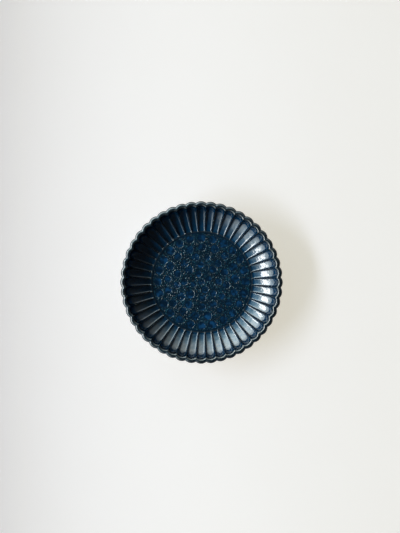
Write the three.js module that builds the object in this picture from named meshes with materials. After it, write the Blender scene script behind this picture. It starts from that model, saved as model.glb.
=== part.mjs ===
import * as THREE from 'three';

// A small deep plate of glazed stoneware. A clay shell is pressed over a fluted mould, which gives it
// a scalloped lip, a wall of concave flutes inside and rounded lobes outside, and a raised bead round
// a flat well. A ring foot is luted on underneath. The glaze is a poured coat inside, a dipped coat
// outside that meets it on the crest of the lip, and a patch inside the foot. Millimetres, +Z up, the
// origin at the centre of the plane that the foot stands on.

// Overall sizes, glaze included.
const overallDiameter = 150;
const overallHeight = 28;

// Lobes round the outside and flutes round the inside. Each depth is how far the middle of one lies
// outside the two creases or ridges beside it. Above 2, the power makes a bottom flatter than a parabola.
const lobeCount = 48;
const facetsPerLobe = 4;
const lipLobeDepth = 1.5;
const wallLobeDepth = 1.5;
const baseLobeDepth = 1;
const crestFluteDepth = 1.4;
const lipFluteDepth = 1.6;
const upperFluteDepth = 2.9;
const middleFluteDepth = 1.6;
const toeFluteDepth = 0.5;
const archPower = 2;
const troughPower = 3.6;

// The pressed shell. Its lip is square to the leaning wall, so the crest lies nearer the inside.
const lipThickness = 4.5;
const lipCrestInset = 3;
const lipOuterDrop = 2.3;
const lipInnerDrop = 1.2;
const wallThickness = 4;
const wallBulge = 2;
const floorThickness = 3.8;
const wellRadius = 47;
const beadWidth = 1.9;
const beadHeight = 0.5;
const grooveWidth = 0.7;
const grooveRise = 0.1;
const toeRise = 0.6;

// The foot ring, which stands under the edge of the well.
const footHeight = 5;
const footWidth = 5;
const footInset = 2;
const footTaper = 0.6;
const footEdge = 0.7;
const baseMargin = 1.6;

// The glaze.
const insideGlazeThickness = 0.5;
const outsideGlazeThickness = 0.4;
const lipGlazeThickness = 0.3;
const baseGlazeThickness = 0.4;
const baseGlazeClearance = 1.2;

// Where the bulge and the rings of the wall lie, as shares of the way from the lip down to the toe.
const bulgeShare = 0.34;
const upperWallShare = 0.22;
const middleWallShare = 0.6;
const toeShare = 1;
const outerMiddleShare = 0.42;
const outerLowerShare = 0.9;

// Radii and heights that follow from the sizes above.
const crestHeight = overallHeight - lipGlazeThickness;
const lipCreaseRadius = overallDiameter / 2 - outsideGlazeThickness - lipLobeDepth;
const lipCrestRadius = lipCreaseRadius - lipCrestInset;
const lipInnerRadius = lipCreaseRadius - lipThickness;
const floorTop = footHeight + floorThickness;
const footOuterRadius = wellRadius - footInset;
const footInnerRadius = footOuterRadius - footWidth;
const baseRadius = footOuterRadius + baseMargin;
const grooveRadius = wellRadius + beadWidth;

// The wall's inner line at a ridge between two flutes: an arc from the lip down to the toe, bulging
// outwards and down, and more so near the lip.
const lipInside = new THREE.Vector2(lipInnerRadius, crestHeight - lipInnerDrop);
const toe = new THREE.Vector2(grooveRadius + grooveWidth, floorTop + toeRise);
const chord = toe.clone().sub(lipInside);
const bulgeDirection = new THREE.Vector2(-chord.y, chord.x).normalize();
const bulgePoint = lipInside.clone().lerp(toe, bulgeShare).addScaledVector(bulgeDirection, 2 * wallBulge);
const wallLine = new THREE.QuadraticBezierCurve(lipInside, bulgePoint, toe);

const upwards = new THREE.Vector2(0, 1);
const outwards = new THREE.Vector2(1, 0);

// The direction square to the wall, pointing out of the plate, at a share of the way down.
function wallNormal(share) {
  const tangent = wallLine.getTangent(share);
  return new THREE.Vector2(-tangent.y, tangent.x);
}

// One ring of a section: its point on the crease line, how far a lobe's middle moves from there, and the
// power that shapes the lobe between.
function ring(point, lobe = new THREE.Vector2(), power = archPower) {
  return { point, lobe, power };
}

// A ring of the wall, this far out from the inner line and with lobes or flutes of this depth.
function wallRing(share, distance, depth, power) {
  const normal = wallNormal(share);
  const point = wallLine.getPoint(share).addScaledVector(normal, distance);
  return ring(point, normal.multiplyScalar(depth), power);
}

// A ring of the inner face of the wall, where the flutes run.
function fluteRing(share, depth) {
  return wallRing(share, 0, depth, troughPower);
}

// A ring of the lip, whose lobes or flutes run level.
function lipRing(radius, height, depth) {
  return ring(new THREE.Vector2(radius, height), new THREE.Vector2(depth, 0));
}

// The same ring lifted off the clay, as the face of a coat of glaze.
function lifted(source, direction, thickness) {
  return ring(source.point.clone().addScaledVector(direction, thickness), source.lobe, source.power);
}

// Rings of the clay, from the edge of the base up the outside, over the lip and down to the well.
const baseEdge = ring(new THREE.Vector2(baseRadius, footHeight));
const outerLower = wallRing(outerLowerShare, wallThickness, baseLobeDepth);
const outerMiddle = wallRing(outerMiddleShare, wallThickness, wallLobeDepth);
const lipOuter = lipRing(lipCreaseRadius, crestHeight - lipOuterDrop, lipLobeDepth);
const lipCrest = lipRing(lipCrestRadius, crestHeight, crestFluteDepth);
const lipInner = lipRing(lipInside.x, lipInside.y, lipFluteDepth);
const wallUpper = fluteRing(upperWallShare, upperFluteDepth);
const wallMiddle = fluteRing(middleWallShare, middleFluteDepth);
const wallToe = fluteRing(toeShare, toeFluteDepth);
const groove = ring(new THREE.Vector2(grooveRadius, floorTop + grooveRise));
const beadTop = ring(new THREE.Vector2(wellRadius + beadWidth / 2, floorTop + beadHeight));
const wellEdge = ring(new THREE.Vector2(wellRadius, floorTop));
const wellCentre = ring(new THREE.Vector2(0, floorTop));
const baseCentre = ring(new THREE.Vector2(0, footHeight));

const outsideClay = [baseEdge, outerLower, outerMiddle, lipOuter, lipCrest];
const insideClay = [lipCrest, lipInner, wallUpper, wallMiddle, wallToe, groove, beadTop, wellEdge, wellCentre];

// How far a column of points stands out, from 0 in a crease to 1 on the middle of a lobe.
function lobeHeight(column, power) {
  const turn = column / facetsPerLobe + 0.5;
  const across = 2 * (turn - Math.floor(turn)) - 1;
  return 1 - Math.abs(across) ** power;
}

// Whether the first of two neighbouring rings is the outer one, or the upper one above the other.
function startsOutside(first, second) {
  const step = second.point.x - first.point.x;
  return step === 0 ? second.point.y < first.point.y : step < 0;
}

// Splits each four-sided face from its crease side on the outer ring to its lobe side on the inner
// one. The two halves of a lobe are then mirror images, and a coat splits just as the clay under it.
function lobedFaces(rings) {
  const faces = [];
  for (let column = 0; column < lobeCount * facetsPerLobe; column += 1) {
    const creaseIsNext = column % facetsPerLobe < facetsPerLobe / 2;
    for (let row = 0; row < rings.length - 1; row += 1) {
      const a = column * rings.length + row;
      const b = a + rings.length;
      const c = b + 1;
      const d = a + 1;
      const acrossNext = creaseIsNext === startsOutside(rings[row], rings[row + 1]);
      faces.push(...(acrossNext ? [a, b, d, c, d, b] : [a, b, c, a, c, d]));
    }
  }
  return faces;
}

// Revolves a section, pushes its columns out into lobes and splits its faces to suit them.
function lobedRevolve(rings) {
  const columns = lobeCount * facetsPerLobe;
  const geometry = new THREE.LatheGeometry(rings.map((entry) => entry.point), columns);
  const position = geometry.attributes.position;
  for (let index = 0; index < position.count; index += 1) {
    const column = Math.floor(index / rings.length) % columns;
    const { point, lobe, power } = rings[index % rings.length];
    const angle = (2 * Math.PI * column) / columns;
    const height = lobeHeight(column, power);
    const radius = point.x + lobe.x * height;
    position.setXYZ(index, radius * Math.sin(angle), point.y + lobe.y * height, radius * Math.cos(angle));
  }
  geometry.setIndex(lobedFaces(rings));
  return geometry.rotateX(Math.PI / 2);
}

function plainRevolve(points) {
  const section = points.map(([radius, height]) => new THREE.Vector2(radius, height));
  return new THREE.LatheGeometry(section, lobeCount).rotateX(Math.PI / 2);
}

function stonewareBody() {
  return lobedRevolve([baseCentre, ...outsideClay, ...insideClay.slice(1)]);
}

function insideGlaze() {
  const face = [
    lifted(lipCrest, upwards, lipGlazeThickness),
    lifted(lipInner, wallNormal(0), -lipGlazeThickness),
    lifted(wallUpper, wallNormal(upperWallShare), -insideGlazeThickness),
    lifted(wallMiddle, wallNormal(middleWallShare), -insideGlazeThickness),
    lifted(wallToe, wallNormal(toeShare), -insideGlazeThickness),
    lifted(groove, upwards, insideGlazeThickness),
    lifted(beadTop, upwards, insideGlazeThickness),
    lifted(wellEdge, upwards, insideGlazeThickness),
    lifted(wellCentre, upwards, insideGlazeThickness),
  ];
  return lobedRevolve([...insideClay.toReversed(), ...face]);
}

function outsideGlaze() {
  const face = [
    baseEdge,
    lifted(outerLower, wallNormal(outerLowerShare), outsideGlazeThickness),
    lifted(outerMiddle, wallNormal(outerMiddleShare), outsideGlazeThickness),
    lifted(lipOuter, outwards, outsideGlazeThickness),
    lifted(lipCrest, upwards, lipGlazeThickness),
  ];
  return lobedRevolve([...face, ...outsideClay.toReversed()]);
}

function footRing() {
  const outerFoot = footOuterRadius - footTaper;
  const innerFoot = footInnerRadius + footTaper;
  return plainRevolve([
    [innerFoot + footEdge, 0],
    [outerFoot - footEdge, 0],
    [outerFoot, footEdge],
    [footOuterRadius, footHeight],
    [footInnerRadius, footHeight],
    [innerFoot, footEdge],
    [innerFoot + footEdge, 0],
  ]);
}

function baseGlaze() {
  const radius = footInnerRadius - baseGlazeClearance;
  return plainRevolve([
    [0, footHeight - baseGlazeThickness],
    [radius - baseGlazeThickness, footHeight - baseGlazeThickness],
    [radius, footHeight],
    [0, footHeight],
  ]);
}

const clayMaterial = { color: 0x8d7963, roughness: 0.85, metalness: 0 };
const glazeMaterial = { color: 0x16304a, roughness: 0.12, metalness: 0 };

function piece(name, geometry, finish) {
  const mesh = new THREE.Mesh(geometry, new THREE.MeshStandardMaterial(finish));
  mesh.name = name;
  return mesh;
}

const group = new THREE.Group();
group.add(
  piece('stoneware_body', stonewareBody(), clayMaterial),
  piece('foot_ring', footRing(), clayMaterial),
  piece('inside_glaze', insideGlaze(), glazeMaterial),
  piece('outside_glaze', outsideGlaze(), glazeMaterial),
  piece('base_glaze', baseGlaze(), glazeMaterial),
);

export default group;
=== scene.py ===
"""A small fluted plate of glazed stoneware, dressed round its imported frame. Metres, +Z up.

The clay, the foot and the three coats of glaze are each a closed mesh of their own. The sections of the
clay and the coats are lines of rings. A ring holds a radius and a height on the crease between two lobes,
the way that the middle of a lobe lies from there, outwards and up, and the form of the line between
them, from 0 for a lobe's arch to 1 for the flat-bottomed trough of a flute.
"""

import math

import bpy
import numpy as np
from bpy.props import FloatProperty, FloatVectorProperty, IntProperty, PointerProperty
from mathutils import Matrix, Vector


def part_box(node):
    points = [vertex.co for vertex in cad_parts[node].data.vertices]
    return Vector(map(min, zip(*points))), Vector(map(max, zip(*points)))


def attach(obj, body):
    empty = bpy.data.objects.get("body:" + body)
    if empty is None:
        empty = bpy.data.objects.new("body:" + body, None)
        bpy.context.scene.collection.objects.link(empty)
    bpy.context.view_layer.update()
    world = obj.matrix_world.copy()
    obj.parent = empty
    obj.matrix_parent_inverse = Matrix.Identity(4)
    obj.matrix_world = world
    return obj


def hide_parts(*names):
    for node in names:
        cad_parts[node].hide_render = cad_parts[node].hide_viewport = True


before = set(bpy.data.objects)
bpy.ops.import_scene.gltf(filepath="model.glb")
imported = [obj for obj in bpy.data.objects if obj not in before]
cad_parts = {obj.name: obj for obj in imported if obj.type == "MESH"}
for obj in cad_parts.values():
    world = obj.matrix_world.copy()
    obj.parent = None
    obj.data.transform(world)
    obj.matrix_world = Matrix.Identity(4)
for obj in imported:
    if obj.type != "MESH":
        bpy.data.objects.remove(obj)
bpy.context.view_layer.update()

bl_info = {
    "name": "Fluted Stoneware Plate",
    "version": (1, 0, 0),
    "blender": (4, 5, 0),
    "location": "View3D > Sidebar > Plate",
    "description": "Builds a fluted stoneware plate with stamped rosettes under a pooled blue glaze",
    "category": "Add Mesh",
}

MM = 0.001

# What the frame says.
PLATE_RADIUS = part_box("outside_glaze")[1].x
CREST_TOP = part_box("outside_glaze")[1].z
CLAY_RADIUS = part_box("stoneware_body")[1].x
CREST_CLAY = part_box("stoneware_body")[1].z
BASE_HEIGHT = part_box("stoneware_body")[0].z
FOOT_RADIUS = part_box("foot_ring")[1].x
PATCH_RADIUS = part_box("base_glaze")[1].x
PATCH_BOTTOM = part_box("base_glaze")[0].z

# The shell and the foot, as they lie under the glaze.
LIP_CREST_INSET = 2.5 * MM
LIP_THICKNESS = 4.1 * MM
LIP_INNER_DROP = 1.2 * MM
LIP_LOBE_FALL = 0.35 * MM
FLOOR_THICKNESS = 3.8 * MM
TOE_RISE = 1.0 * MM
FOOT_WIDTH = 5.0 * MM
FOOT_TAPER = 0.6 * MM
FOOT_EDGE = 0.7 * MM
BASE_MARGIN = 1.6 * MM

# The lip outside, from below up to its crest: how far each ring lies inside the lip's face and below the
# crest. Inside, the rings lie at shares of the run and of the drop from the crest to the wall.
LIP_OUTER_PLACES = (
    (1.05 * MM, 4.30 * MM),
    (0.20 * MM, 3.00 * MM),
    (0.03 * MM, 2.20 * MM),
    (0.40 * MM, 1.25 * MM),
    (1.25 * MM, 0.52 * MM),
    (2.30 * MM, 0.13 * MM),
)
LIP_INNER_SHARES = ((0.0, 0.0), (0.22, 0.05), (0.5, 0.22), (0.78, 0.50))

# Shares of the way down the wall: where the depths of the flutes hold, where they have turned from level
# to square to the wall, where they have become troughs, and the rings of the outside.
FLUTE_DEPTH_SHARES = (0.0, 0.10, 0.25, 0.6, 1.0)
LEVEL_FLUTE_SHARE = 0.15
TROUGH_SHARE = 0.34
OUTER_WALL_SHARES = (0.97, 0.9, 0.8, 0.66, 0.5, 0.36, 0.24)

# Just under the lip the flutes already have this share of their depth high on the wall. Outside, the
# lobes start over a short share of the wall, and their depth grows this many times as fast as it rises.
SHOULDER_SHARE = 0.95
LOBE_START_SHARE = 0.04
LOBE_GROWTH = 2.2

# The fillet of glaze from the toe of the wall to the well, as shares of the way, and the power of its fall.
FILLET_SHARES = (0.12, 0.25, 0.38, 0.5, 0.62, 0.74, 0.86, 1.0)
FILLET_POWER = 2.2

# The coats. The inside one starts thinner at the lip and pools at the foot of the wall. The edge of the
# patch under the plate is rounded at shares of its thickness, inwards and upwards.
INSIDE_COAT = 0.5 * MM
OUTSIDE_COAT = PLATE_RADIUS - CLAY_RADIUS
LIP_COAT = CREST_TOP - CREST_CLAY
UPPER_COAT_SHARE = 0.6
POOL_START_SHARE = 0.7
POOL_SHARE = 0.5
PATCH_EDGE_SHARES = ((0.9, 0.0), (0.35, 0.22), (0.0, 1.0))

# How finely the meshes are divided, and the angle from which an edge is sharp.
COLUMNS_ACROSS = (0.0, 0.3, 0.56, 0.75, 0.87, 0.95)
FOOT_COLUMNS = 288
WALL_KEYS = 18
BEAD_STEPS = 7
LIP_PITCH = 0.28 * MM
WALL_PITCH = 0.66 * MM
WELL_PITCH = 0.38 * MM
HIDDEN_PITCH = 2.6 * MM
BASE_PITCH = 4.0 * MM
FOOT_PITCH = 0.25 * MM
PATCH_PITCH = 1.0 * MM
FULL_COLUMNS_TO = 22.0 * MM
SHARP_ANGLE = math.radians(62)

# Waves by which the lobes stray from even steps: how many go round, how high they are, where they start.
UNEVEN_WAVES = ((5, 1.0, 0.7), (9, 0.8, 2.1), (17, 0.7, 4.0))

# The rosettes: rings of them from the edge of the well inwards, with how far out each ring lies, how many
# it has and their radius. The outermost ring is plain and nearly even, and the others stray.
ROSETTE_RINGS = (
    (41.9 * MM, 24, 4.5 * MM),
    (32.9 * MM, 17, 4.3 * MM),
    (24.3 * MM, 13, 4.1 * MM),
    (15.9 * MM, 8, 4.3 * MM),
    (7.9 * MM, 4, 3.9 * MM),
)
CENTRE_ROSETTE = 3.4 * MM
EVEN_STRAY = 0.10 * MM
LOOSE_STRAY = 0.45 * MM
EVEN_SCALES = (0.93, 1.04)
LOOSE_SCALES = (0.80, 1.08)
KINDS = PLAIN, DOTTED, PETALLED = range(3)

# The stamp of a rosette: a beaded ring round a sunk disc, with dots or petals on the disc.
RING_BEAD_PITCH = 0.29 * MM
RING_FLOOR_SHARE = 0.25
DISC_SHARE = 0.84
DISC_SLOPE = 0.16 * MM
DOTS_ROUND = 8
DOT_CIRCLE_SHARE = 0.5
CENTRE_DOT_SCALE = 1.2
PETALS = 6
PETAL_CIRCLE_SHARE = 0.45
PETAL_WIDTH_SHARE = 0.22
PETAL_HEIGHT_SCALE = 1.1
BEAD_TURN = 9

# How many widths from its middle a stamped line or dot still counts.
LINE_REACH = 4
DOT_REACH = 3

# The small dots between the rosettes, and the edge of the well, where the stamping runs out.
DOT_TRIES = 9000
DOT_SPACING = 1.25 * MM
DOT_EDGE_GAP = 0.9 * MM
DOT_ROSETTE_GAP = 0.35 * MM
RELIEF_FADE = 0.8 * MM
GROUND_EDGE_GAP = 0.6 * MM

# Where the glaze starts to thin or to pool, and where it does so in full, from the middle of a lobe, 0, to
# its creases, 1, and how deep flutes and lobes are where it does so in full. A mark says how much it does
# so: on the lobes outside, near the crest, on the bead and in the patch.
RIDGE_THIN_SHARES = (0.93, 0.99)
FLUTE_POOL_SHARES = (0.9, 0.6)
LOBE_THIN_SHARES = (0.4, 0.0)
CREASE_POOL_SHARES = (0.4, 0.9)
FLUTE_FULL_DEPTH = 0.6 * MM
LOBE_FULL_DEPTH = 1.5 * MM
LOBE_MARK = 0.25
INSIDE_CREST_MARK = 0.6
OUTSIDE_CREST_MARK = 0.35
CREST_MARK_DROPS = (1.5 * MM, 0.6 * MM)
BEAD_MARK = 0.5
BEAD_MARK_WIDTH = 0.5 * MM
PATCH_MARK = 0.4

# Sizes of the marks in the glaze, from slow drifts down to fine grain, and in the clay.
DRIFT_SIZE = 11 * MM
RIPPLE_SIZE = 4.6 * MM
DISC_CLOUD_SIZE = 4.5 * MM
MOTTLE_SIZE = 1.7 * MM
FLECK_SPACING = 1.15 * MM
GRAIN_SIZE = 0.45 * MM
RIPPLE_DEPTH = 0.4 * MM
FLECK_HEIGHT = 0.11 * MM
GLAZE_IOR = 1.6
CLOUD_SIZE = 9 * MM
SPECK_SPACING = 1.6 * MM
SPECK_SHARE = 0.13
GRIT_SIZE = 0.35 * MM
GRIT_DEPTH = 0.12 * MM

# The table top, and the stretch from left to right over which the painted shade on its lift fades out:
# darkest at the left, full lift at the right.
TABLE_HALF = 6.0
TABLE_PATCH_SIZE = 50 * MM
TABLE_PAINTED_SHADE_PLACES = (-197 * MM, 80 * MM)
TABLE_PAINTED_SHADE_POWER = 3.0

# The bright sides of the room: the azimuth of each in degrees, the cosines from there at which it starts
# and is full, and its strength. A fade has the heights, as sines, where it starts and ends. All but the
# high side share the side fade and strength.
WIDE_GLOW = (157, -0.35, 0.75, 2.95)
BACK_GLOW = (130, -0.80, 0.10, 0.25)
NEAR_GLOW = (140, 0.70, 0.97, 3.6)
LOW_GLOW = (205, 0.50, 0.97, 1.3)
PANEL_GLOW = (203, 0.93, 0.995, 0.9)
HIGH_GLOW = (95, 0.35, 0.98, 1.1)
LOW_FADE = (0.50, 0.66)
PANEL_FADE = (0.44, 0.60)
SIDE_FADE = (0.46, 0.88)
HIGH_FADE = (0.62, 0.90)
SIDE_STRENGTH = 1.35

# How the room brightens upwards from the horizon, what it has everywhere, what diffuse light loses, and
# its tints. Straight up, the level part of a direction counts as at least this long.
LEAST_LEVEL = 0.01
HORIZON_RISE = (0.0, 0.18, 0.05, 0.55)
UPPER_RISE = (0.34, 0.50, 0.0, 0.45)
ROOM_LEVEL = 0.045
DIFFUSE_LOSS = 0.9
SIDE_TINT = (0.94, 1.06, 1.03, 1.0)
OVERHEAD_TINT = (0.60, 0.98, 1.10, 1.0)
TINT_HEIGHTS = (0.5, 0.8)
BACKDROP = (0.80, 0.79, 0.77, 1.0)

# The photograph's frame and the plate's place in it, in pixels, and the camera.
IMAGE_SIZE = (400, 533)
PLATE_CENTRE_PIXELS = (201.03, 282.56)
LIP_RADIUS_PIXELS = 81.85
CAMERA_OFFSET = 13 * MM
SENSOR_WIDTH = 36
CLIP_RANGE = (0.01, 20.0)


class PlateShape(bpy.types.PropertyGroup):
    """Sizes of the lobes, the flutes and the well."""

    lobes: IntProperty(name="Lobes", description="Lobes round the plate", default=48, min=12, max=96)
    lip_lobe: FloatProperty(
        name="Lip lobe", description="How far a lobe stands out at the lip",
        default=1.5 * MM, unit="LENGTH")
    crest_flute: FloatProperty(
        name="Crest flute", description="Depth of a flute on the crest of the lip",
        default=1.4 * MM, unit="LENGTH")
    lip_flute: FloatProperty(
        name="Lip flute", description="Depth of a flute just under the lip",
        default=1.8 * MM, unit="LENGTH")
    upper_flute: FloatProperty(
        name="Upper flute", description="Depth of a flute high on the wall",
        default=3.25 * MM, unit="LENGTH")
    middle_flute: FloatProperty(
        name="Middle flute", description="Depth of a flute half way down",
        default=2.25 * MM, unit="LENGTH")
    toe_flute: FloatProperty(
        name="Toe flute", description="Depth of a flute at its toe",
        default=1.3 * MM, unit="LENGTH")
    wall_lobe: FloatProperty(
        name="Wall lobe", description="How far a lobe stands out on the wall",
        default=1.8 * MM, unit="LENGTH")
    base_lobe: FloatProperty(
        name="Base lobe", description="How far a lobe stands out near the base",
        default=1.0 * MM, unit="LENGTH")
    ridge_softness: FloatProperty(
        name="Ridge softness", description="How much the glaze rounds ridges and creases",
        default=0.05, min=0.01)
    flute_fullness: FloatProperty(
        name="Flute fullness", description="Above 2 the bottom of a flute is flatter than a parabola",
        default=9.0)
    unevenness: FloatProperty(
        name="Unevenness", description="How far the lobes stray from even steps, as a share of a turn",
        default=0.0007)
    wall_thickness: FloatProperty(
        name="Wall thickness", description="Thickness of the wall",
        default=4.0 * MM, unit="LENGTH")
    wall_bulge: FloatProperty(
        name="Wall bulge", description="How far the wall bulges outwards",
        default=2.0 * MM, unit="LENGTH")
    bulge_share: FloatProperty(
        name="Bulge share", description="Where the bulge lies, from the lip down to the well",
        default=0.34)
    well_radius: FloatProperty(
        name="Well radius", description="Radius of the flat well",
        default=47.0 * MM, unit="LENGTH")
    bead_width: FloatProperty(
        name="Bead width", description="Width of the bead round the well",
        default=1.9 * MM, unit="LENGTH")
    bead_height: FloatProperty(
        name="Bead height", description="Height of the bead round the well",
        default=0.16 * MM, unit="LENGTH")
    groove_width: FloatProperty(
        name="Groove width", description="From the bead's foot to the toes of the ridges",
        default=0.7 * MM, unit="LENGTH")


class StampedPattern(bpy.types.PropertyGroup):
    """The rosettes and dots pressed into the well."""

    seed: IntProperty(name="Seed", description="Seed of the uneven places", default=7)
    ring_height: FloatProperty(
        name="Ring height", description="Height of a stamped ring",
        default=0.22 * MM, unit="LENGTH")
    disc_depth: FloatProperty(
        name="Disc depth", description="Depth of a stamped disc",
        default=0.16 * MM, unit="LENGTH")
    dot_height: FloatProperty(
        name="Dot height", description="Height of a stamped dot",
        default=0.21 * MM, unit="LENGTH")
    line_width: FloatProperty(
        name="Line width", description="Half width of a stamped line",
        default=0.38 * MM, unit="LENGTH")
    dot_radius: FloatProperty(
        name="Dot radius", description="Radius of a stamped dot",
        default=0.46 * MM, unit="LENGTH")


class PlateColours(bpy.types.PropertyGroup):
    """Colours of the glaze and the clay."""

    deep: FloatVectorProperty(
        name="Deep glaze", description="Glaze of ordinary thickness",
        default=(0.0018, 0.0158, 0.0375), subtype="COLOR")
    pooled: FloatVectorProperty(
        name="Pooled glaze", description="Glaze where it pools in the flutes",
        default=(0.003, 0.058, 0.145), subtype="COLOR")
    stamped: FloatVectorProperty(
        name="Stamped glaze", description="Glaze where it fills the stamped discs",
        default=(0.006, 0.052, 0.138), subtype="COLOR")
    thin: FloatVectorProperty(
        name="Thin glaze", description="Glaze where it breaks over edges",
        default=(0.060, 0.066, 0.056), subtype="COLOR")
    fleck: FloatVectorProperty(
        name="Fleck", description="Glaze where it breaks over the stamped flecks",
        default=(0.024, 0.120, 0.172), subtype="COLOR")
    clay: FloatVectorProperty(
        name="Clay", description="Bare fired clay",
        default=(0.300, 0.225, 0.155), subtype="COLOR")
    speck: FloatVectorProperty(
        name="Iron speck", description="Iron specks in the clay",
        default=(0.055, 0.035, 0.022), subtype="COLOR")


class StudioSetting(bpy.types.PropertyGroup):
    """The table, the light and the camera."""

    table: FloatVectorProperty(
        name="Table", description="Colour of the table's own shade",
        default=(0.575, 0.625, 0.79), subtype="COLOR")
    table_lift: FloatVectorProperty(
        name="Table lift", description="Paleness that the table shows besides the light on it",
        default=(0.640, 0.605, 0.510), subtype="COLOR")
    # Painted shade: the darker lift that the table shows at the left of the picture.
    table_painted_shade: FloatVectorProperty(
        name="Table shade", description="Table lift at the left of the picture",
        default=(0.363, 0.314, 0.204), subtype="COLOR")
    window_power: FloatProperty(
        name="Window power", description="Power of the window light",
        default=9.1, unit="POWER")
    window_length: FloatProperty(
        name="Window length", description="Length of the window light",
        default=1.1, unit="LENGTH")
    window_width: FloatProperty(
        name="Window width", description="Width of the window light",
        default=0.17, unit="LENGTH")
    window_distance: FloatProperty(
        name="Window distance", description="How far the window light is from the plate",
        default=1.2, unit="LENGTH")
    window_azimuth: FloatProperty(
        name="Window azimuth", description="Which way the window light lies",
        default=math.radians(183), subtype="ANGLE")
    window_elevation: FloatProperty(
        name="Window elevation", description="How high the window light stands",
        default=math.radians(36.5), subtype="ANGLE")
    window_roll: FloatProperty(
        name="Window roll", description="How far the window light leans",
        default=math.radians(6), subtype="ANGLE")
    camera_height: FloatProperty(
        name="Camera height", description="Height of the camera over the lip",
        default=0.450, unit="LENGTH")


def blend_line(knots, values, places):
    """A smooth line through rows of values at their knots, read at the places given."""
    knots = np.asarray(knots, float)
    values = np.asarray(values, float)
    step = np.diff(knots)[:, None]
    slope = np.diff(values, axis=0) / step
    tangent = np.empty_like(values)
    tangent[1:-1] = (slope[:-1] * step[1:] + slope[1:] * step[:-1]) / (step[1:] + step[:-1])
    tangent[0] = slope[0]
    tangent[-1] = slope[-1]
    index = np.clip(np.searchsorted(knots, places, side="right") - 1, 0, len(knots) - 2)
    share = ((places - knots[index]) / step[index, 0])[:, None]
    length = step[index]
    square = share * share
    cube = square * share
    return (
        (2 * cube - 3 * square + 1) * values[index]
        + (cube - 2 * square + share) * length * tangent[index]
        + (3 * square - 2 * cube) * values[index + 1]
        + (cube - square) * length * tangent[index + 1]
    )


def spaced_rings(keys, pitch):
    """Rings about one pitch apart on a smooth line through the key rings."""
    keys = np.asarray(keys, float)
    steps = np.linalg.norm(np.diff(keys[:, :2], axis=0), axis=1)
    knots = np.concatenate([[0.0], np.cumsum(steps)])
    count = max(2, math.ceil(knots[-1] / pitch) + 1)
    return blend_line(knots, keys, np.linspace(0.0, knots[-1], count))


def joined(*lines):
    """Lines of rings end to end, without the ring that two of them share."""
    return np.concatenate([lines[0]] + [line[1:] for line in lines[1:]])


def ramped(value, start, full):
    """How far a value has gone from its start to where it is full, from 0 to 1."""
    return np.clip((value - start) / (full - start), 0.0, 1.0)


def bump_at(distance, width):
    """A round bump, 1 at no distance."""
    return np.exp(-(distance / width) ** 2)


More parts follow.
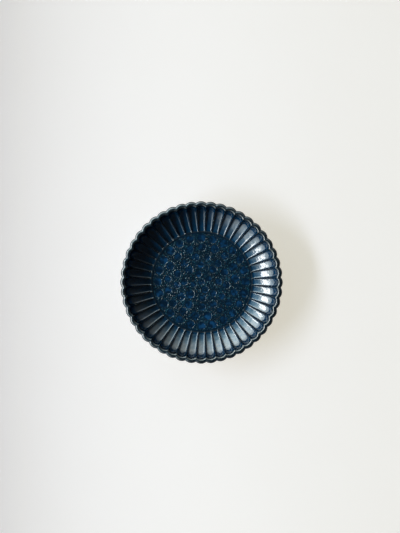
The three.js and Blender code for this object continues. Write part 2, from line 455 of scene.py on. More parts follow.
class Section:
    """The plate's section: its wall, its lip and the offsets of its coats."""

    def __init__(self, shape):
        self.shape = shape
        self.crease = CLAY_RADIUS - shape.lip_lobe
        self.crest = self.crease - LIP_CREST_INSET
        self.floor_top = BASE_HEIGHT + FLOOR_THICKNESS
        self.lip_inside = np.array([self.crease - LIP_THICKNESS, CREST_CLAY - LIP_INNER_DROP])
        groove = shape.well_radius + shape.bead_width
        self.toe = np.array([groove + shape.groove_width, self.floor_top + TOE_RISE])
        chord = self.toe - self.lip_inside
        outwards = np.array([-chord[1], chord[0]]) / np.linalg.norm(chord)
        self.bulge_point = self.lip_inside + shape.bulge_share * chord + 2 * shape.wall_bulge * outwards

    def point(self, share):
        """The wall's inner line at a share of the way from the lip to the toe."""
        rest = 1.0 - share
        return rest * rest * self.lip_inside + 2 * rest * share * self.bulge_point + share * share * self.toe

    def normal(self, share):
        """The way out of the plate, square to the wall."""
        along = (1.0 - share) * (self.bulge_point - self.lip_inside) + share * (self.toe - self.bulge_point)
        return np.array([-along[1], along[0]]) / np.linalg.norm(along)

    def flute_depth(self, share):
        """How deep the flutes are at a share of the way down the wall."""
        shape = self.shape
        shoulder = SHOULDER_SHARE * shape.upper_flute
        depths = [shape.lip_flute, shoulder, shape.upper_flute, shape.middle_flute, shape.toe_flute]
        return blend_line(FLUTE_DEPTH_SHARES, [[depth] for depth in depths], np.array([share]))[0, 0]

    def inner_wall(self, coat):
        """Key rings down the inside of the wall, with a coat of glaze over them that pools at the toe."""
        rings = []
        for share in np.linspace(0.0, 1.0, WALL_KEYS):
            normal = self.normal(share)
            level = max(0.0, 1.0 - share / LEVEL_FLUTE_SHARE)
            lobe = normal * (1.0 - level) + np.array([1.0, 0.0]) * level
            lobe *= self.flute_depth(share) / np.linalg.norm(lobe)
            lift = coat * min(1.0, UPPER_COAT_SHARE + share)
            lift += POOL_SHARE * coat * ramped(share, POOL_START_SHARE, 1.0) ** 2
            rings.append([*(self.point(share) - normal * lift), *lobe, min(1.0, share / TROUGH_SHARE)])
        return rings

    def inner_lip(self, coat, wall_end):
        """Key rings from the crest over the inner side of the lip to where the wall begins."""
        crest_height = CREST_CLAY + coat
        drop = crest_height - wall_end[1]
        run = self.crest - wall_end[0]
        rings = []
        for across, down in LIP_INNER_SHARES:
            lobe = self.shape.crest_flute + (self.shape.lip_flute - self.shape.crest_flute) * across
            rings.append([self.crest - run * across, crest_height - drop * down, lobe, 0.0, 0.0])
        return rings

    def well_edge(self, coat, toe):
        """Key rings from the toe of the wall down a fillet and over the bead to the edge of the well."""
        shape = self.shape
        top = self.floor_top + coat
        middle = shape.well_radius + shape.bead_width / 2
        quarter = shape.bead_width / 4
        end = shape.well_radius - quarter
        rings = []
        for share in FILLET_SHARES:
            rest = 1.0 - share
            radius = toe[0] + (end - toe[0]) * share
            bead = shape.bead_height * bump_at(radius - middle, quarter)
            level = top + (toe[1] - top) * rest ** FILLET_POWER + bead
            rings.append([radius, level, toe[2] * rest * rest, toe[3] * rest * rest, rest])
        return rings

    def inside(self, lip_coat, coat, lip_pitch, wall_pitch, well_pitch):
        """Rings of the inside face, from the crest of the lip to the middle of the well."""
        wall = self.inner_wall(coat)
        lip = spaced_rings(self.inner_lip(lip_coat, wall[0]) + wall[:2], lip_pitch)
        edge = self.well_edge(coat, wall[-1])
        flutes = spaced_rings(wall[1:], wall_pitch)
        bead = spaced_rings(wall[-1:] + edge, min(wall_pitch, self.shape.bead_width / BEAD_STEPS))
        floor_keys = [edge[-1], [well_pitch, self.floor_top + coat, 0.0, 0.0, 0.0]]
        return joined(lip, flutes, bead, spaced_rings(floor_keys, well_pitch))

    def outside(self, lip_coat, coat, lip_pitch, wall_pitch):
        """Rings of the outside face, from the edge of the base to the crest of the lip."""
        shape = self.shape
        side = self.crease + coat
        crest_height = CREST_CLAY + lip_coat
        wall = [[FOOT_RADIUS + BASE_MARGIN, BASE_HEIGHT, 0.0, 0.0, 0.0]]
        for share in OUTER_WALL_SHARES:
            rise = 1.0 - share
            depth = shape.base_lobe + (shape.wall_lobe - shape.base_lobe) * min(1.0, rise * LOBE_GROWTH)
            depth *= min(1.0, rise / LOBE_START_SHARE)
            normal = self.normal(share)
            point = self.point(share) + normal * (shape.wall_thickness + coat)
            wall.append([*point, *(normal * depth), 0.0])
        lip = [
            [side - inset, crest_height - drop, shape.lip_lobe, 0.0, 0.0]
            for inset, drop in LIP_OUTER_PLACES
        ]
        lip[0][3] = -LIP_LOBE_FALL
        lip.append([self.crest, crest_height, shape.crest_flute, 0.0, 0.0])
        return joined(spaced_rings(wall + lip[:1], wall_pitch), spaced_rings(lip, lip_pitch))


def columns_across(lobes):
    """Where each column lies across its lobe, from -1 to 1 on its creases, and the lobe's number."""
    half = np.array(COLUMNS_ACROSS)
    across = np.concatenate([half, [1.0], -half[:0:-1]])
    lobe = np.concatenate([np.zeros(len(half) + 1), np.ones(len(half) - 1)])
    return np.tile(across, lobes), np.repeat(np.arange(lobes), len(across)) + np.tile(lobe, lobes)


def rounded(height, softness):
    """The height with its sharp foot rounded off, still from 0 to 1."""
    top = math.sqrt(1 + softness * softness) - softness
    return (np.sqrt(height * height + softness * softness) - softness) / top


def uneven_turn(share, amount):
    """Shares of the way round, shifted a little as in work done by hand."""
    turn = 2 * math.pi * share
    drift = sum(height * np.sin(count * turn + start) for count, height, start in UNEVEN_WAVES)
    return share + amount * drift / sum(height for _, height, _ in UNEVEN_WAVES)


def lobed_grid(rings, shape):
    """Points of a lobed face: one row for each ring, one column for each step round the plate."""
    across, lobe = columns_across(shape.lobes)
    arch = rounded(1 - across * across, shape.ridge_softness)
    trough = rounded(1 - np.abs(across) ** shape.flute_fullness, shape.ridge_softness)
    share = rings[:, 4, None]
    height = arch * (1 - share) + trough * share
    crowded = uneven_turn((lobe + across / 2) / shape.lobes, shape.unevenness)
    even = np.arange(len(across)) / len(across)
    on_wall = ramped(rings[:, 0, None], shape.well_radius, shape.well_radius + shape.bead_width)
    angle = 2 * math.pi * (even + (crowded - even) * on_wall)
    radius = rings[:, 0, None] + rings[:, 2, None] * height
    level = rings[:, 1, None] + rings[:, 3, None] * height
    return np.stack([radius * np.cos(angle), radius * np.sin(angle), level], axis=-1)


def round_grid(section, columns):
    """Points of a plain turned face, from the radii and heights of its section."""
    section = np.asarray(section, float)
    angle = 2 * math.pi * np.arange(columns) / columns
    points = np.empty((len(section), columns, 3))
    points[..., 0] = section[:, 0, None] * np.cos(angle)
    points[..., 1] = section[:, 0, None] * np.sin(angle)
    points[..., 2] = section[:, 1, None]
    return points


def strip_faces(first, count, second, other):
    """Faces between two rows of points, given where each row starts and how many points it has.

    The rows have as many points as each other, or one has twice as many.
    """
    if count > other:
        return [face[:, ::-1] for face in strip_faces(second, other, first, count)]
    column = np.arange(count)
    after = (column + 1) % count
    if count == other:
        return [np.stack([first + column, first + after, second + after, second + column], axis=-1)]
    middle = 2 * column + 1
    last = (2 * column + 2) % other
    return [
        np.stack([first + column, second + middle, second + 2 * column], axis=-1),
        np.stack([first + column, first + after, second + middle], axis=-1),
        np.stack([first + after, second + last, second + middle], axis=-1),
    ]


def fan_faces(pole, first, count):
    """Triangles between a point on the axis and the row of points round it."""
    column = np.arange(count)
    return np.stack([np.full(count, pole), first + column, first + (column + 1) % count], axis=-1)


def smooth_mesh(name, points, faces):
    """A mesh that is smooth but for its sharp edges."""
    mesh = bpy.data.meshes.new(name)
    mesh.vertices.add(len(points))
    mesh.vertices.foreach_set("co", points.astype(np.float32).ravel())
    corners = np.concatenate([face.ravel() for face in faces]).astype(np.int32)
    sizes = np.concatenate([np.full(len(face), face.shape[1]) for face in faces])
    mesh.loops.add(len(corners))
    mesh.loops.foreach_set("vertex_index", corners)
    mesh.polygons.add(len(sizes))
    mesh.polygons.foreach_set("loop_start", (np.cumsum(sizes) - sizes).astype(np.int32))
    mesh.update(calc_edges=True)
    mesh.validate()
    mesh.polygons.foreach_set("use_smooth", np.ones(len(mesh.polygons), bool))
    mesh.set_sharp_from_angle(angle=SHARP_ANGLE)
    return mesh


def closed_piece(name, rows, poles=None, marks=None):
    """A piece with a closed mesh, from rows of points that run round its section.

    Without poles the last row joins the first. With poles, two points on the axis close the first and the
    last row. Marks are named fields with a value for each point, from the first row on. The points that a
    field doesn't reach, such as the poles, hold 0.
    """
    counts = [len(row) for row in rows]
    starts = np.concatenate([[0], np.cumsum(counts[:-1])])
    points = np.concatenate(rows)
    faces = []
    for index in range(len(rows) - 1):
        faces += strip_faces(starts[index], counts[index], starts[index + 1], counts[index + 1])
    if poles is None:
        faces += strip_faces(starts[-1], counts[-1], 0, counts[0])
    else:
        faces.append(fan_faces(len(points), 0, counts[0])[:, [0, 2, 1]])
        faces.append(fan_faces(len(points) + 1, starts[-1], counts[-1]))
        points = np.concatenate([points, np.asarray(poles, float)])
    mesh = smooth_mesh(name, points, faces)
    for mark, field in (marks or {}).items():
        attribute = mesh.attributes.new(mark, "FLOAT", "POINT")
        values = np.zeros(len(points), np.float32)
        flat = np.concatenate(field)
        values[:len(flat)] = flat
        attribute.data.foreach_set("value", values)
    piece = bpy.data.objects.new(name, mesh)
    bpy.context.scene.collection.objects.link(piece)
    return piece


def thinned(grid, strides):
    """The grid's rows, each with only every so many of its columns."""
    return [row[::stride] for row, stride in zip(grid, strides)]


def well_strides(rings):
    """Fewer columns in the rows nearer the middle of the well."""
    strides = np.ones(len(rings), int)
    for stride in (2, 4, 8):
        strides[rings[:, 0] < FULL_COLUMNS_TO * 2 / stride] = stride
    return strides


def hidden_strides(rings, crest):
    """All columns on the crest, half of them where the clay hides the rows, and fewer under the well."""
    on_crest = np.isclose(rings[:, 0], crest)
    return np.maximum(well_strides(rings), np.where(on_crest, 1, 2))


def finish_piece(piece, material, node):
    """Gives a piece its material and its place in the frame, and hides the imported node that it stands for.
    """
    piece.data.materials.append(material)
    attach(piece, "root")
    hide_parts(node)


def stamped_rosettes(pattern):
    """Centres, radii and kinds of the rosettes, with the one in the middle first."""
    draw = np.random.default_rng(pattern.seed)
    rosettes = [(0.0, 0.0, CENTRE_ROSETTE, DOTTED)]
    for ring, (radius, count, size) in enumerate(ROSETTE_RINGS):
        even = ring == 0
        stray = EVEN_STRAY if even else LOOSE_STRAY
        scales = EVEN_SCALES if even else LOOSE_SCALES
        start = draw.uniform(0, 2 * math.pi)
        for step in range(count):
            angle = start + 2 * math.pi * step / count + draw.normal() * stray / radius
            distance = radius + draw.normal() * stray
            kind = PLAIN if even else int(draw.integers(0, len(KINDS)))
            scale = draw.uniform(*scales)
            rosettes.append((distance * math.cos(angle), distance * math.sin(angle), size * scale, kind))
    return rosettes


def scattered_dots(pattern, rosettes, edge):
    """Places of the small dots that fill the ground between the rosettes."""
    draw = np.random.default_rng(pattern.seed + 1)
    dots = []
    for _ in range(DOT_TRIES):
        distance = (edge - DOT_EDGE_GAP) * math.sqrt(draw.uniform())
        angle = draw.uniform(0, 2 * math.pi)
        x = distance * math.cos(angle)
        y = distance * math.sin(angle)
        if any(math.hypot(x - cx, y - cy) < size + DOT_ROSETTE_GAP for cx, cy, size, _ in rosettes):
            continue
        if any(math.hypot(x - dx, y - dy) < DOT_SPACING for dx, dy in dots):
            continue
        dots.append((x, y))
    return dots


def spaced_round(angle, count, turn=0.0):
    """Marks spaced round a centre: 1 on each of them and 0 half way between two."""
    return 0.5 + 0.5 * np.cos(count * angle + turn)


def rosette_relief(pattern, distance, angle, size, kind, turn):
    """Height of one rosette at distances and angles from its centre, its beads turned by so much."""
    line = pattern.line_width
    beads = spaced_round(angle, round(size / RING_BEAD_PITCH), turn)
    ring = RING_FLOOR_SHARE + (1 - RING_FLOOR_SHARE) * beads
    height = pattern.ring_height * ring * bump_at(distance - size, line)
    height -= pattern.disc_depth / (1 + np.exp((distance - size * DISC_SHARE) / DISC_SLOPE))
    if kind == DOTTED:
        circle = bump_at(distance - size * DOT_CIRCLE_SHARE, line)
        height += pattern.dot_height * spaced_round(angle, DOTS_ROUND) * circle
        height += pattern.dot_height * bump_at(distance, pattern.dot_radius * CENTRE_DOT_SCALE)
    elif kind == PETALLED:
        circle = bump_at(distance - size * PETAL_CIRCLE_SHARE, size * PETAL_WIDTH_SHARE)
        height += pattern.disc_depth * PETAL_HEIGHT_SCALE * spaced_round(angle, PETALS) * circle
    return height


def stamped_relief(grid, pattern, edge):
    """Height of the stamped relief at each point of the well's face."""
    rosettes = stamped_rosettes(pattern)
    x = grid[..., 0]
    y = grid[..., 1]
    relief = np.zeros(x.shape)
    for cx, cy, size, kind in rosettes:
        near = np.hypot(x - cx, y - cy)
        inside = near < size + LINE_REACH * pattern.line_width
        angle = np.arctan2(y[inside] - cy, x[inside] - cx)
        turn = BEAD_TURN * cx / size
        relief[inside] += rosette_relief(pattern, near[inside], angle, size, kind, turn)
    for dx, dy in scattered_dots(pattern, rosettes, edge):
        near = np.hypot(x - dx, y - dy)
        inside = near < DOT_REACH * pattern.dot_radius
        relief[inside] += pattern.dot_height * bump_at(near[inside], pattern.dot_radius)
    return relief * ramped(np.hypot(x, y), edge, edge - RELIEF_FADE)


class NodeWork:
    """Adds nodes to a tree and joins them. In an input's name an underscore stands for a space."""

    def __init__(self, tree):
        self.tree = tree

    def plug(self, node, **inputs):
        for key, value in inputs.items():
            self.plug_socket(node.inputs[key.replace("_", " ")], value)

    def plug_socket(self, socket, value):
        if isinstance(value, bpy.types.NodeSocket):
            self.tree.links.new(value, socket)
        else:
            socket.default_value = value

    def node(self, kind, settings=None, **inputs):
        made = self.tree.nodes.new(kind)
        for key, value in (settings or {}).items():
            setattr(made, key, value)
        self.plug(made, **inputs)
        return made

    def math(self, operation, first, second=0.0, clamp=False):
        made = self.node("ShaderNodeMath", {"operation": operation, "use_clamp": clamp})
        self.plug_socket(made.inputs[0], first)
        self.plug_socket(made.inputs[1], second)
        return made.outputs[0]

    def total(self, first, second):
        return self.math("ADD", first, second)

    def product(self, first, second, clamp=False):
        return self.math("MULTIPLY", first, second, clamp)

    def ramp(self, value, low, high, start=0.0, end=1.0):
        made = self.node(
            "ShaderNodeMapRange", {"interpolation_type": "SMOOTHSTEP"},
            Value=value, From_Min=low, From_Max=high, To_Min=start, To_Max=end)
        return made.outputs["Result"]

    def mix(self, factor, first, second):
        made = self.node("ShaderNodeMix", {"data_type": "RGBA"})
        for index, value in ((0, factor), (6, first), (7, second)):
            self.plug_socket(made.inputs[index], value)
        return made.outputs[2]

    def axes(self, vector):
        return self.node("ShaderNodeSeparateXYZ", Vector=vector).outputs


class Shader(NodeWork):
    """The nodes of a new material."""

    def __init__(self, name):
        self.material = bpy.data.materials.new(name)
        self.material.use_nodes = True
        super().__init__(self.material.node_tree)

    def surface(self, **inputs):
        self.plug(self.tree.nodes["Principled BSDF"], **inputs)

    def place(self):
        return self.node("ShaderNodeTexCoord").outputs["Object"]

    def mark(self, name):
        return self.node("ShaderNodeAttribute", {"attribute_name": name}).outputs["Fac"]

    def noise(self, place, size, detail, roughness=0.5):
        made = self.node(
            "ShaderNodeTexNoise", Vector=place, Scale=1.0 / size, Detail=detail, Roughness=roughness)
        return made.outputs["Fac"]

    def cells(self, place, size):
        return self.node("ShaderNodeTexVoronoi", Vector=place, Scale=1.0 / size).outputs


def rgba(colour, scale=1.0):
    """A property's colour as a socket takes it, lighter or darker by the scale."""
    return (*(channel * scale for channel in colour), 1.0)


def flecked(shader, place, body, colours):
    """The glaze's colour with bright flecks where it breaks over the stamping, and their round domes."""
    cells = shader.cells(place, FLECK_SPACING)
    domes = shader.product(shader.ramp(cells["Distance"], 0.08, 0.42, 1.0, 0.0), shader.mark("ground"))
    tints = shader.axes(cells["Color"])
    bright = shader.ramp(tints["X"], 0.45, 0.95, 0.35, 2.4)
    tint = shader.mix(shader.ramp(tints["Y"], 0.6, 0.9), rgba(colours.fleck), rgba(colours.thin, 1.1))
    lit = shader.node("ShaderNodeVectorMath", {"operation": "SCALE"}, Vector=tint, Scale=bright)
    share = shader.math("MAXIMUM", shader.product(shader.mark("fleck"), 0.55), domes)
    return shader.mix(share, body, lit.outputs[0]), domes


def glaze_material(name, colours, tone):
    """Glossy blue glaze: deep where it lies even, bright where it pools and brown-grey where it thins."""
    shader = Shader(name)
    place = shader.place()
    drift = shader.noise(place, DRIFT_SIZE, 2.0)
    mottle = shader.noise(place, MOTTLE_SIZE, 4.0, 0.6)
    clouds = shader.noise(place, DISC_CLOUD_SIZE, 1.0)
    deep = shader.mix(shader.ramp(drift, 0.35, 0.7), rgba(colours.deep), rgba(colours.deep, 1.7 * tone))
    pooled = shader.mix(shader.ramp(mottle, 0.35, 0.7), rgba(colours.pooled, 0.9), rgba(colours.pooled, 1.4))
    stamped = shader.mix(
        shader.ramp(clouds, 0.4, 0.68), rgba(colours.stamped, 0.45), rgba(colours.stamped, 1.9))
    pool_share = shader.product(shader.mark("pool"), shader.ramp(drift, 0.2, 0.75, 0.45, 1.0), True)
    well_share = shader.product(shader.mark("well"), shader.ramp(drift, 0.3, 0.7, 0.4, 1.0), True)
    body = shader.mix(well_share, shader.mix(pool_share, deep, pooled), stamped)
    colour, domes = flecked(shader, place, body, colours)
    thin = shader.mark("thin")
    broken = shader.product(thin, shader.ramp(mottle, 0.25, 0.6, 0.35, 1.0), True)
    breaking = shader.mix(shader.ramp(mottle, 0.4, 0.65), rgba(colours.thin, 0.7), rgba(colours.thin, 1.3))
    grain = shader.noise(place, GRAIN_SIZE, 2.0, 0.6)
    matt = shader.product(shader.math("POWER", thin, 4.0), 0.42)
    relief = shader.total(shader.noise(place, RIPPLE_SIZE, 2.0), shader.product(grain, 0.04))
    ripples = shader.node("ShaderNodeBump", Strength=0.5, Distance=RIPPLE_DEPTH, Height=relief)
    flecks = shader.node(
        "ShaderNodeBump",
        Strength=1.0, Distance=FLECK_HEIGHT, Height=domes, Normal=ripples.outputs["Normal"])
    shader.surface(
        Base_Color=shader.mix(broken, colour, breaking),
        Roughness=shader.total(shader.ramp(grain, 0.3, 0.8, 0.07, 0.14), matt),
        IOR=GLAZE_IOR,
        Normal=flecks.outputs["Normal"])
    return shader.material


def clay_material(name, colours):
    """Bare fired stoneware: warm grey-brown, matt, with iron specks and fine grit."""
    shader = Shader(name)
    place = shader.place()
    cloud = shader.noise(place, CLOUD_SIZE, 3.0)
    grit = shader.noise(place, GRIT_SIZE, 4.0, 0.7)
    base = shader.mix(shader.ramp(cloud, 0.3, 0.7), rgba(colours.clay, 0.82), rgba(colours.clay, 1.12))
    gritty = shader.mix(shader.ramp(grit, 0.42, 0.62), base, rgba(colours.clay, 0.66))
    specks = shader.math("LESS_THAN", shader.cells(place, SPECK_SPACING)["Distance"], SPECK_SHARE)
    bump = shader.node("ShaderNodeBump", Strength=0.5, Distance=GRIT_DEPTH, Height=grit)
    shader.surface(
        Base_Color=shader.mix(specks, gritty, rgba(colours.speck)),
        Roughness=shader.ramp(grit, 0.2, 0.8, 0.72, 0.95),
        Normal=bump.outputs["Normal"])
    return shader.material


def crest_mark(rings):
    """How much each ring counts as the crest of the lip, where the glaze runs thin."""
    low, full = CREST_MARK_DROPS
    return ramped(rings[:, 1, None], CREST_TOP - low, CREST_TOP - full)


def lobe_depth(rings):
    """How deep the lobes or flutes of each ring are."""
    return np.hypot(rings[:, 2, None], rings[:, 3, None])


def flute_marks(rings, shape):
    """Where the glaze inside thins, on ridges and the crest, and where it pools, in the flutes."""
    across = np.abs(columns_across(shape.lobes)[0])
    strength = ramped(lobe_depth(rings), 0.0, FLUTE_FULL_DEPTH) * rings[:, 4, None]
    thin = ramped(across, *RIDGE_THIN_SHARES) * strength
    pool = ramped(across, *FLUTE_POOL_SHARES) * strength
    return np.maximum(thin, crest_mark(rings) * INSIDE_CREST_MARK), pool


def lobe_marks(rings, shape):
    """Where the glaze outside thins, on lobes and the crest, and where it pools, in the creases."""
    across = np.abs(columns_across(shape.lobes)[0])
    strength = ramped(lobe_depth(rings), 0.0, LOBE_FULL_DEPTH) * LOBE_MARK
    thin = ramped(across, *LOBE_THIN_SHARES) * strength
    pool = ramped(across, *CREASE_POOL_SHARES) * strength
    return np.maximum(thin, crest_mark(rings) * OUTSIDE_CREST_MARK), pool


class PLATE_OT_stage(bpy.types.Operator):
    """Sets up the table, the light from the window and the camera"""

    bl_idname = "plate.stage"
    bl_label = "Stage"

    def execute(self, context):
        setting = context.scene.plate_studio
        make_table(setting)
        make_room(context.scene)
        make_window(setting)
        make_camera(context.scene, setting)
        context.scene.view_settings.view_transform = "Standard"
        return {"FINISHED"}


def make_table(setting):
    """A wide pale table top, with painted shade that makes it a little darker at the left of the picture."""
    half = TABLE_HALF
    mesh = bpy.data.meshes.new("table_top")
    corners = [(-half, -half, 0), (half, -half, 0), (half, half, 0), (-half, half, 0)]
    mesh.from_pydata(corners, [], [(0, 1, 2, 3)])
    table = bpy.data.objects.new("table_top", mesh)
    bpy.context.scene.collection.objects.link(table)
    shader = Shader("table_paint")
    place = shader.place()
    patchy = shader.ramp(shader.noise(place, TABLE_PATCH_SIZE, 3.0), 0.3, 0.7)
    left, right = TABLE_PAINTED_SHADE_PLACES
    across = shader.node(
        "ShaderNodeMapRange",
        Value=shader.axes(place)["X"], From_Min=left, From_Max=right, To_Min=1.0, To_Max=0.0)
    # Painted shade: the lift darkens from the right towards the left of the picture.
    shade = shader.math("POWER", across.outputs["Result"], TABLE_PAINTED_SHADE_POWER)
    path = shader.node("ShaderNodeLightPath").outputs
    seen = shader.math("MAXIMUM", path["Is Camera Ray"], path["Is Glossy Ray"])
    shader.surface(
        Base_Color=shader.mix(patchy, rgba(setting.table, 0.99), rgba(setting.table, 1.01)),
        Roughness=0.85,
        Specular_IOR_Level=0.2,
        Emission_Color=shader.mix(shade, rgba(setting.table_lift), rgba(setting.table_painted_shade)),
        Emission_Strength=shader.math("MAXIMUM", seen, path["Is Transmission Ray"]))
    table.data.materials.append(shader.material)


def make_room(scene):
    """The room: bright on the window's side, dim overhead and opposite, pale where the camera sees it."""
    world = bpy.data.worlds.new("room")
    world.use_nodes = True
    world.cycles.sampling_method = "NONE"
    scene.world = world
    room = NodeWork(world.node_tree)
    x, y, z = room.axes(room.node("ShaderNodeTexCoord").outputs["Generated"])
    level = room.math("SQRT", room.total(room.product(x, x), room.product(y, y)))
    level = room.math("MAXIMUM", level, LEAST_LEVEL)
    towards_x = room.math("DIVIDE", x, level)
    towards_y = room.math("DIVIDE", y, level)

    def glow(azimuth, low, high, strength):
        turn = math.radians(azimuth)
        facing = room.total(room.product(towards_x, math.cos(turn)), room.product(towards_y, math.sin(turn)))
        return room.ramp(facing, low, high, 0.0, strength)

    def faded(light, heights, strength=1.0):
        return room.product(light, room.ramp(z, *heights, strength, 0.0))

    wide = room.total(room.total(glow(*WIDE_GLOW), glow(*BACK_GLOW)), glow(*NEAR_GLOW))
    narrow = room.total(faded(glow(*LOW_GLOW), LOW_FADE), faded(glow(*PANEL_GLOW), PANEL_FADE))
    side = faded(room.total(wide, narrow), SIDE_FADE, SIDE_STRENGTH)
    high = faded(glow(*HIGH_GLOW), HIGH_FADE)
    rise = room.total(room.ramp(z, *HORIZON_RISE), room.ramp(z, *UPPER_RISE))
    light = room.total(room.product(room.total(side, high), rise), ROOM_LEVEL)
    path = room.node("ShaderNodeLightPath").outputs
    kept = room.math("SUBTRACT", 1.0, room.product(path["Is Diffuse Ray"], DIFFUSE_LOSS))
    tint = room.mix(room.ramp(z, *TINT_HEIGHTS), SIDE_TINT, OVERHEAD_TINT)
    lighting = world.node_tree.nodes["Background"]
    room.plug(lighting, Color=tint, Strength=room.product(light, kept))
    backdrop = room.node("ShaderNodeBackground", Color=BACKDROP, Strength=1.0)
    choice = room.node("ShaderNodeMixShader", Fac=path["Is Camera Ray"])
    room.plug_socket(choice.inputs[1], lighting.outputs[0])
    room.plug_socket(choice.inputs[2], backdrop.outputs[0])
    room.plug(world.node_tree.nodes["World Output"], Surface=choice.outputs[0])


def make_window(setting):
    """The bright part of the window: a long narrow light on the left, part way up."""
    light = bpy.data.lights.new("window_light", "AREA")
    light.shape = "RECTANGLE"
    light.size = setting.window_length
    light.size_y = setting.window_width
    light.energy = setting.window_power
    lamp = bpy.data.objects.new("window_light", light)
    distance = setting.window_distance
    level = distance * math.cos(setting.window_elevation)
    lamp.location = (
        level * math.cos(setting.window_azimuth),
        level * math.sin(setting.window_azimuth),
        distance * math.sin(setting.window_elevation),
    )
    aim = (-lamp.location).to_track_quat("-Z", "Y").to_matrix()
    lamp.rotation_euler = (aim @ Matrix.Rotation(setting.window_roll, 3, "Z")).to_euler()
    bpy.context.scene.collection.objects.link(lamp)


def make_camera(scene, setting):
    """Looks nearly straight down, as the photograph does."""
    image_centre = Vector(IMAGE_SIZE) / 2
    plate_centre = Vector(PLATE_CENTRE_PIXELS)
    scale = PLATE_RADIUS / LIP_RADIUS_PIXELS
    aim = Vector((
        (image_centre.x - plate_centre.x) * scale,
        (plate_centre.y - image_centre.y) * scale,
        CREST_TOP,
    ))
    stand = Vector((CAMERA_OFFSET, aim.y, CREST_TOP + setting.camera_height))
    forward = (aim - stand).normalized()
    right = forward.cross(Vector((0, 1, 0))).normalized()
    up = right.cross(forward)
    data = bpy.data.cameras.new("camera")
    data.sensor_width = SENSOR_WIDTH
    data.lens = setting.camera_height / scale * SENSOR_WIDTH / max(IMAGE_SIZE)
    data.clip_start, data.clip_end = CLIP_RANGE
    camera = bpy.data.objects.new("camera", data)
    rotation = Matrix((right, up, -forward)).transposed().to_4x4()
    camera.matrix_world = Matrix.Translation(stand) @ rotation
    scene.collection.objects.link(camera)
    scene.camera = camera


class PLATE_OT_clay(bpy.types.Operator):
    """Builds the pressed clay shell under the glaze"""

    bl_idname = "plate.clay"
    bl_label = "Clay Shell"

    def execute(self, context):
        shape = context.scene.plate_shape
        section = Section(shape)
        outer = section.outside(0.0, 0.0, LIP_PITCH * 2, WALL_PITCH * 2)
        inner = section.inside(0.0, 0.0, LIP_PITCH * 2, WALL_PITCH * 2, HIDDEN_PITCH)
        radii = np.arange(BASE_PITCH, FOOT_RADIUS, BASE_PITCH)
        base = [[radius, BASE_HEIGHT, 0.0, 0.0, 0.0] for radius in radii]
        rings = np.concatenate([base, joined(outer, inner)])
        rows = lobed_grid(rings, shape)[:, ::2]
        shell = closed_piece("pressed_clay_shell", rows, [(0, 0, BASE_HEIGHT), (0, 0, section.floor_top)])
        material = clay_material("fired_clay", context.scene.plate_colours)
        finish_piece(shell, material, "stoneware_body")
        return {"FINISHED"}


class PLATE_OT_foot(bpy.types.Operator):
    """Builds the turned foot ring"""

    bl_idname = "plate.foot"
    bl_label = "Foot Ring"

    def execute(self, context):
        outer = FOOT_RADIUS - FOOT_TAPER
        inner = FOOT_RADIUS - FOOT_WIDTH + FOOT_TAPER
        corner = FOOT_EDGE * (1 - math.sqrt(0.5))
        keys = [
            (inner + FOOT_EDGE, 0.0),
            (outer - FOOT_EDGE, 0.0),
            (outer - corner, corner),
            (outer, FOOT_EDGE),
            (FOOT_RADIUS, BASE_HEIGHT),
            (FOOT_RADIUS - FOOT_WIDTH, BASE_HEIGHT),
            (inner, FOOT_EDGE),
            (inner + corner, corner),
        ]
        section = []
        for first, second in zip(keys, keys[1:] + keys[:1]):
            count = max(1, round(math.dist(first, second) / FOOT_PITCH))
            section.extend(np.linspace(first, second, count, endpoint=False))
        foot = closed_piece("turned_foot_ring", round_grid(section, FOOT_COLUMNS))
        material = clay_material("fired_foot_clay", context.scene.plate_colours)
        finish_piece(foot, material, "foot_ring")
        return {"FINISHED"}


class PLATE_OT_inside_glaze(bpy.types.Operator):
    """Builds the poured coat of glaze inside, with the stamped relief of the well"""

    bl_idname = "plate.inside_glaze"
    bl_label = "Inside Glaze"

    def execute(self, context):
        shape = context.scene.plate_shape
        pattern = context.scene.plate_pattern
        section = Section(shape)
        face_rings = section.inside(LIP_COAT, INSIDE_COAT, LIP_PITCH, WALL_PITCH, WELL_PITCH)
        back_rings = section.inside(0.0, 0.0, LIP_PITCH * 3, HIDDEN_PITCH, HIDDEN_PITCH * 2)[::-1]
        face = lobed_grid(face_rings, shape)
        back = lobed_grid(back_rings, shape)
        relief = stamped_relief(face, pattern, shape.well_radius)
        face[..., 2] += relief
        thin, pool = flute_marks(face_rings, shape)
        radius = face_rings[:, 0, None]
        bead = bump_at(radius - shape.well_radius - shape.bead_width / 2, BEAD_MARK_WIDTH)
        well = np.clip(-relief / pattern.disc_depth, 0.0, 1.0)
        edge = shape.well_radius - GROUND_EDGE_GAP
        fields = {
            "thin": np.maximum(thin, bead * BEAD_MARK),
            "pool": pool,
            "well": well,
            "fleck": np.clip(relief / pattern.ring_height, 0.0, 1.0),
            "ground": ramped(radius, edge, edge - RELIEF_FADE) * np.clip(1.0 - 2.0 * well, 0.0, 1.0),
        }
        strides = np.concatenate([hidden_strides(back_rings, section.crest), well_strides(face_rings)])
        blank = np.zeros(back.shape[:2])
        marks = {name: thinned(np.concatenate([blank, field]), strides) for name, field in fields.items()}
        rows = thinned(np.concatenate([back, face]), strides)
        poles = [(0, 0, section.floor_top), (0, 0, section.floor_top + INSIDE_COAT)]
        coat = closed_piece("poured_inside_glaze", rows, poles, marks)
        material = glaze_material("inside_blue_glaze", context.scene.plate_colours, 1.0)
        finish_piece(coat, material, "inside_glaze")
        return {"FINISHED"}


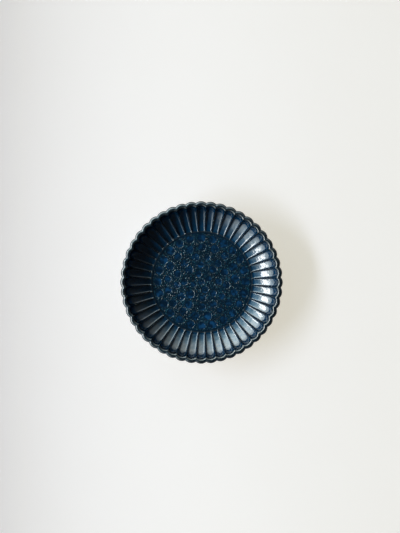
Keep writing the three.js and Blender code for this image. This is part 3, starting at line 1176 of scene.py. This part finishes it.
class PLATE_OT_outside_glaze(bpy.types.Operator):
    """Builds the dipped coat of glaze outside"""

    bl_idname = "plate.outside_glaze"
    bl_label = "Outside Glaze"

    def execute(self, context):
        shape = context.scene.plate_shape
        section = Section(shape)
        face_rings = section.outside(LIP_COAT, OUTSIDE_COAT, LIP_PITCH, WALL_PITCH)
        back_rings = section.outside(0.0, 0.0, LIP_PITCH * 3, HIDDEN_PITCH)[-1:0:-1]
        rows = np.concatenate([lobed_grid(face_rings, shape), lobed_grid(back_rings, shape)])
        thin, pool = lobe_marks(face_rings, shape)
        coat = closed_piece("dipped_outside_glaze", rows, None, {"thin": thin, "pool": pool})
        material = glaze_material("outside_blue_glaze", context.scene.plate_colours, 0.9)
        finish_piece(coat, material, "outside_glaze")
        return {"FINISHED"}


class PLATE_OT_base_glaze(bpy.types.Operator):
    """Builds the patch of glaze inside the foot"""

    bl_idname = "plate.base_glaze"
    bl_label = "Base Glaze"

    def execute(self, context):
        thickness = BASE_HEIGHT - PATCH_BOTTOM
        radii = np.arange(PATCH_PITCH, PATCH_RADIUS - PATCH_PITCH, PATCH_PITCH)
        section = [[radius, PATCH_BOTTOM] for radius in radii]
        for inset, rise in PATCH_EDGE_SHARES:
            section.append([PATCH_RADIUS - thickness * inset, PATCH_BOTTOM + thickness * rise])
        rows = round_grid(section, FOOT_COLUMNS)
        poles = [(0, 0, PATCH_BOTTOM), (0, 0, BASE_HEIGHT)]
        marks = {"pool": np.full(rows.shape[:2], PATCH_MARK)}
        patch = closed_piece("base_glaze_patch", rows, poles, marks)
        material = glaze_material("base_blue_glaze", context.scene.plate_colours, 1.0)
        finish_piece(patch, material, "base_glaze")
        return {"FINISHED"}


class PLATE_PT_sidebar(bpy.types.Panel):
    """Lists the plate's pieces and sizes"""

    bl_idname = "PLATE_PT_sidebar"
    bl_label = "Fluted Plate"
    bl_space_type = "VIEW_3D"
    bl_region_type = "UI"
    bl_category = "Plate"

    def draw(self, context):
        layout = self.layout
        for operator in BUILD_ORDER:
            layout.operator(operator.bl_idname)
        for attribute, _ in GROUPS:
            settings = getattr(context.scene, attribute)
            box = layout.box()
            for name in settings.__annotations__:
                box.prop(settings, name)


BUILD_ORDER = (
    PLATE_OT_stage,
    PLATE_OT_clay,
    PLATE_OT_foot,
    PLATE_OT_inside_glaze,
    PLATE_OT_outside_glaze,
    PLATE_OT_base_glaze,
)

GROUPS = (
    ("plate_shape", PlateShape),
    ("plate_pattern", StampedPattern),
    ("plate_colours", PlateColours),
    ("plate_studio", StudioSetting),
)


def register():
    for attribute, group in GROUPS:
        bpy.utils.register_class(group)
        setattr(bpy.types.Scene, attribute, PointerProperty(type=group))
    for operator in BUILD_ORDER:
        bpy.utils.register_class(operator)
    bpy.utils.register_class(PLATE_PT_sidebar)


def unregister():
    bpy.utils.unregister_class(PLATE_PT_sidebar)
    for operator in reversed(BUILD_ORDER):
        bpy.utils.unregister_class(operator)
    for attribute, group in reversed(GROUPS):
        delattr(bpy.types.Scene, attribute)
        bpy.utils.unregister_class(group)


def main():
    register()
    bpy.ops.plate.stage()
    bpy.ops.plate.clay()
    bpy.ops.plate.foot()
    bpy.ops.plate.inside_glaze()
    bpy.ops.plate.outside_glaze()
    bpy.ops.plate.base_glaze()


if __name__ == "__main__":
    main()
